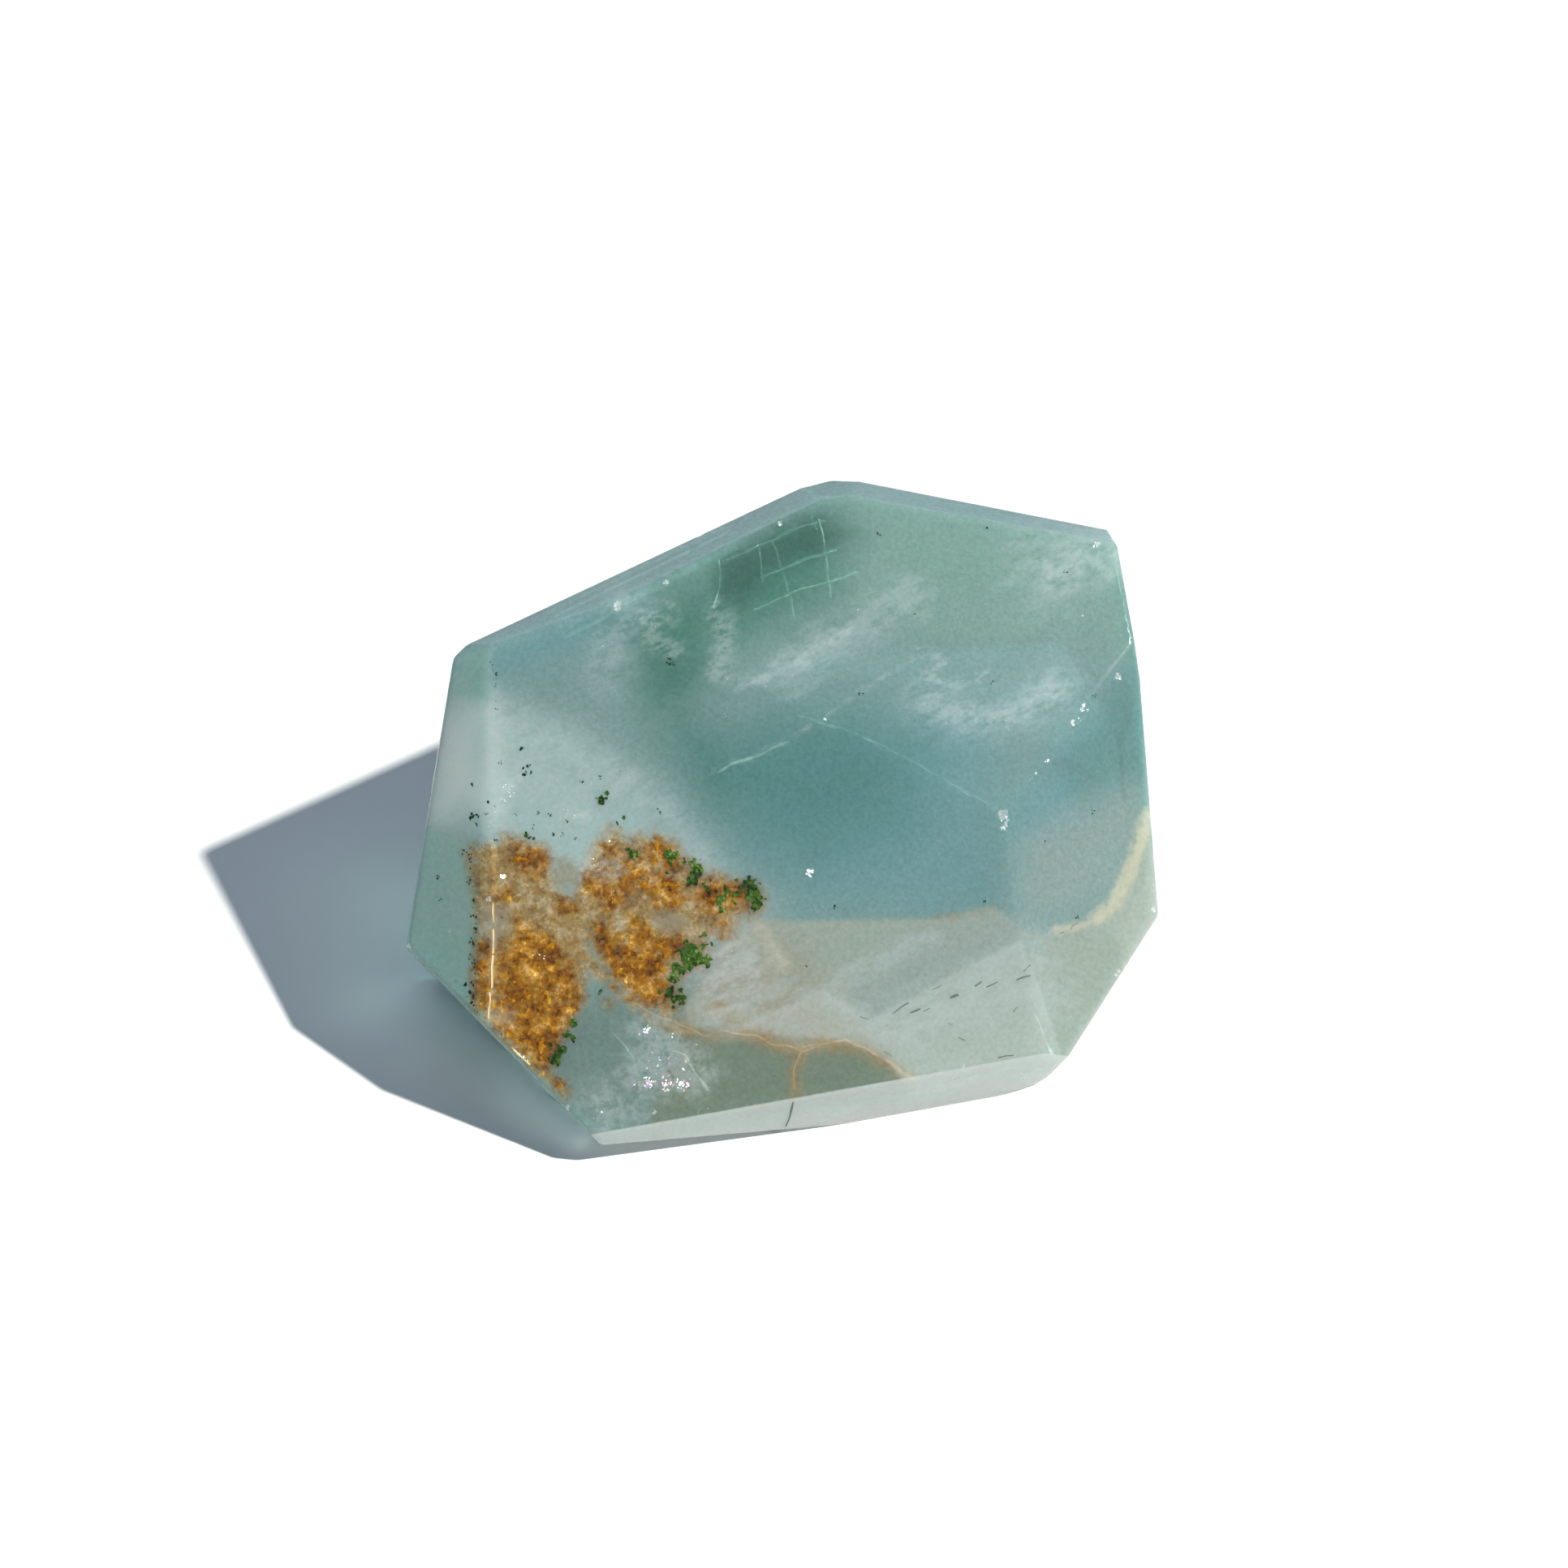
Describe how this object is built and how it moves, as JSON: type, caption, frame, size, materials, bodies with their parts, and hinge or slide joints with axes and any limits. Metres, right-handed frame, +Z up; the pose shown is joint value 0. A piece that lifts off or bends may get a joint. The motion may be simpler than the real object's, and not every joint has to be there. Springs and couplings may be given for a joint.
{
  "type": "fluorite freeform",
  "caption": "Hand-sized chunk of milky teal fluorite, ground to flat polished faces, with a rusty matrix patch inside; stands on its flat base.",
  "frame": {"origin": "on the resting face, under the middle of the stone's box", "axes": "+Z up; the display faces look toward -Y and up, +X is to the right seen from there"},
  "size_m": [0.0624, 0.051, 0.0347],
  "materials": {
    "fluorite": "polished, milky and translucent"
  },
  "bodies": {
    "root": {"fluorite_chunk": "fluorite"}
  },
  "joints": []
}
